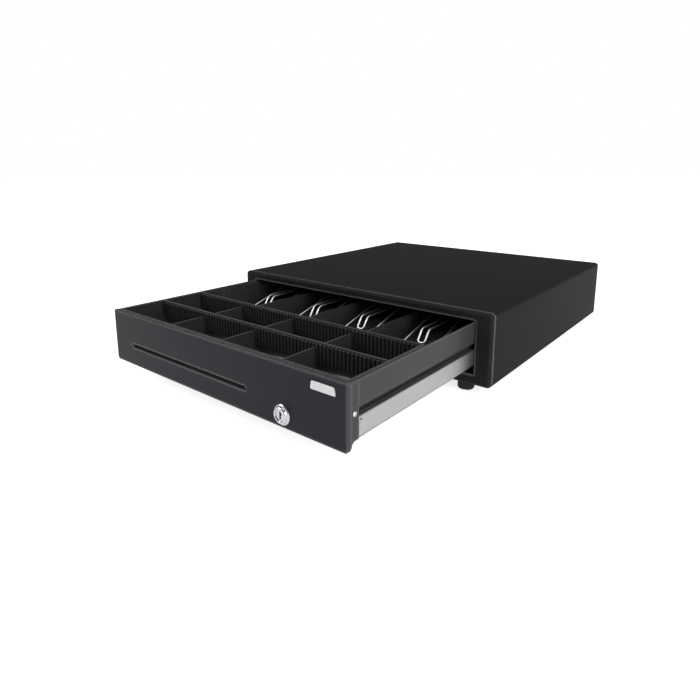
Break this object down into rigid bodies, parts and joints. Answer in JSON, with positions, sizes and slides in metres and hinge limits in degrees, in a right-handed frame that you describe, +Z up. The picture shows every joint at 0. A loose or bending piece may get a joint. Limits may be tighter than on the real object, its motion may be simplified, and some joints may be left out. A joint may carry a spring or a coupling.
{
  "type": "cash drawer",
  "caption": "Steel cash drawer shown open: housing on rubber feet, drawer on ball runners, coin and note trays, wire note clips, media slot and key lock.",
  "frame": {"origin": "on the surface the feet stand on, in the middle of the open object's outline", "axes": "+X to the right, -Y to the front, +Z up"},
  "size_m": [0.41, 0.648, 0.1],
  "materials": {
    "housing_paint": "near-black satin powder coat, very fine orange peel",
    "front_paint": "near-black satin powder coat with a faint cool tint",
    "drawer_paint": "dark satin powder coat",
    "runner_steel": "zinc-plated cold-rolled steel, light grey, drawn lengthways",
    "screw_steel": "bright zinc plating",
    "spring_steel": "drawn spring steel",
    "chrome": "polished chrome",
    "wire_chrome": "bright nickel-plated wire",
    "badge_metal": "fine brushed silver plate, blank",
    "cage_brass": "thin bright steel strip",
    "foot_rubber": "matt black rubber",
    "tray_plastic": "glossy black moulded ABS",
    "moulded_black": "fine-grained black moulding",
    "coil_tape": "wound coil under amber tape",
    "board_green": "green solder mask"
  },
  "bodies": {
    "housing": {"front_frame": "housing_paint", "top_cover": "housing_paint", "base_plate": "housing_paint", "rear_panel": "housing_paint", "rear_screws": "screw_steel", "rubber_feet": "foot_rubber", "foot_screws": "screw_steel", "cabinet_runner_left": "runner_steel", "cabinet_runner_right": "runner_steel", "runner_bracket_left": "runner_steel", "runner_bracket_right": "runner_steel", "bracket_screws": "screw_steel", "latch_bracket": "runner_steel", "latch_pin": "screw_steel", "solenoid_frame": "runner_steel", "solenoid_coil": "coil_tape", "latch_spring": "spring_steel", "eject_guide": "moulded_black", "eject_spring": "spring_steel", "position_switch": "moulded_black", "cable_socket": "moulded_black", "socket_board": "board_green", "board_posts": "moulded_black"},
    "drawer": {"drawer_front": "front_paint", "front_bulkhead": "drawer_paint", "corner_screws": "screw_steel", "drawer_pan": "drawer_paint", "drawer_runner_left": "runner_steel", "drawer_runner_right": "runner_steel", "catch_striker": "runner_steel", "name_plate": "badge_metal", "lock_barrel": "chrome", "lock_nut": "screw_steel", "note_tray": "tray_plastic", "clip_rod": "spring_steel"},
    "cages": {"ball_cages": "cage_brass", "runner_balls": "chrome"},
    "key_lock": {"lock_plug": "chrome", "lock_cam": "runner_steel", "cam_screw": "screw_steel"},
    "coins": {"coin_tray": "tray_plastic"},
    "latch": {"latch_lever": "runner_steel"},
    "plunger": {"solenoid_plunger": "screw_steel"},
    "pusher": {"eject_pusher": "moulded_black"},
    "switch_arm": {"switch_lever": "spring_steel"},
    "clip_1": {"clip_hub_1": "moulded_black", "note_clip_1": "wire_chrome"},
    "clip_2": {"clip_hub_2": "moulded_black", "note_clip_2": "wire_chrome"},
    "clip_3": {"clip_hub_3": "moulded_black", "note_clip_3": "wire_chrome"},
    "clip_4": {"clip_hub_4": "moulded_black", "note_clip_4": "wire_chrome"},
    "divider_1": {"coin_divider_1": "tray_plastic"},
    "divider_2": {"coin_divider_2": "tray_plastic"},
    "divider_3": {"coin_divider_3": "tray_plastic"},
    "divider_4": {"coin_divider_4": "tray_plastic"},
    "divider_5": {"coin_divider_5": "tray_plastic"},
    "divider_6": {"coin_divider_6": "tray_plastic"}
  },
  "joints": [
    {"name": "drawer_slide", "type": "slide", "parent": "housing", "child": "drawer", "axis": [0, -1, 0], "range_m": [-0.227, 0]},
    {"name": "cages_slide", "type": "slide", "parent": "housing", "child": "cages", "axis": [0, -1, 0], "range_m": [-0.1135, 0]},
    {"name": "key_turn", "type": "hinge", "parent": "drawer", "child": "key_lock", "pos_m": [0.1077, -0.3195, 0.0393], "axis": [0, 1, 0], "range_deg": [0, 90]},
    {"name": "coin_tray_lift", "type": "slide", "parent": "drawer", "child": "coins", "axis": [0, 0, 1], "range_m": [0, 0.06]},
    {"name": "latch_release", "type": "hinge", "parent": "housing", "child": "latch", "pos_m": [0.014, 0.2725, 0.0442], "axis": [0, 0, 1], "range_deg": [0, 12], "stiffness_Nm_per_rad": 0.05, "springref_deg": -5.73, "deforming": ["latch_spring"]},
    {"name": "plunger_pull", "type": "slide", "parent": "housing", "child": "plunger", "axis": [1, 0, 0], "range_m": [-0.0036, 0]},
    {"name": "pusher_slide", "type": "slide", "parent": "housing", "child": "pusher", "axis": [0, -1, 0], "range_m": [-0.025, 0], "deforming": ["eject_spring"]},
    {"name": "switch_press", "type": "hinge", "parent": "housing", "child": "switch_arm", "pos_m": [-0.069, 0.2375, 0.0479], "axis": [0, 0, 1], "range_deg": [0, 14.5]},
    {"name": "clip_1_lift", "type": "hinge", "parent": "drawer", "child": "clip_1", "pos_m": [-0.128, -0.0175, 0.077], "axis": [-1, 0, 0], "range_deg": [0, 7.5]},
    {"name": "clip_2_lift", "type": "hinge", "parent": "drawer", "child": "clip_2", "pos_m": [-0.038, -0.0175, 0.077], "axis": [-1, 0, 0], "range_deg": [0, 7.5]},
    {"name": "clip_3_lift", "type": "hinge", "parent": "drawer", "child": "clip_3", "pos_m": [0.043, -0.0175, 0.077], "axis": [-1, 0, 0], "range_deg": [0, 7.5]},
    {"name": "clip_4_lift", "type": "hinge", "parent": "drawer", "child": "clip_4", "pos_m": [0.1315, -0.0175, 0.077], "axis": [-1, 0, 0], "range_deg": [0, 7.5]},
    {"name": "divider_1_lift", "type": "slide", "parent": "coins", "child": "divider_1", "axis": [0, 0, 1], "range_m": [0, 0.03]},
    {"name": "divider_2_lift", "type": "slide", "parent": "coins", "child": "divider_2", "axis": [0, 0, 1], "range_m": [0, 0.03]},
    {"name": "divider_3_lift", "type": "slide", "parent": "coins", "child": "divider_3", "axis": [0, 0, 1], "range_m": [0, 0.03]},
    {"name": "divider_4_lift", "type": "slide", "parent": "coins", "child": "divider_4", "axis": [0, 0, 1], "range_m": [0, 0.03]},
    {"name": "divider_5_lift", "type": "slide", "parent": "coins", "child": "divider_5", "axis": [0, 0, 1], "range_m": [0, 0.03]},
    {"name": "divider_6_lift", "type": "slide", "parent": "coins", "child": "divider_6", "axis": [0, 0, 1], "range_m": [0, 0.03]}
  ],
  "couplings": [
    {"joint": "cages_slide", "follows": "drawer_slide", "ratio": 0.5},
    {"joint": "pusher_slide", "follows": "drawer_slide", "ratio": 0.11},
    {"joint": "switch_press", "follows": "drawer_slide", "rad_per_m": -1.1148},
    {"joint": "plunger_pull", "follows": "latch_release", "m_per_rad": -0.0168}
  ]
}
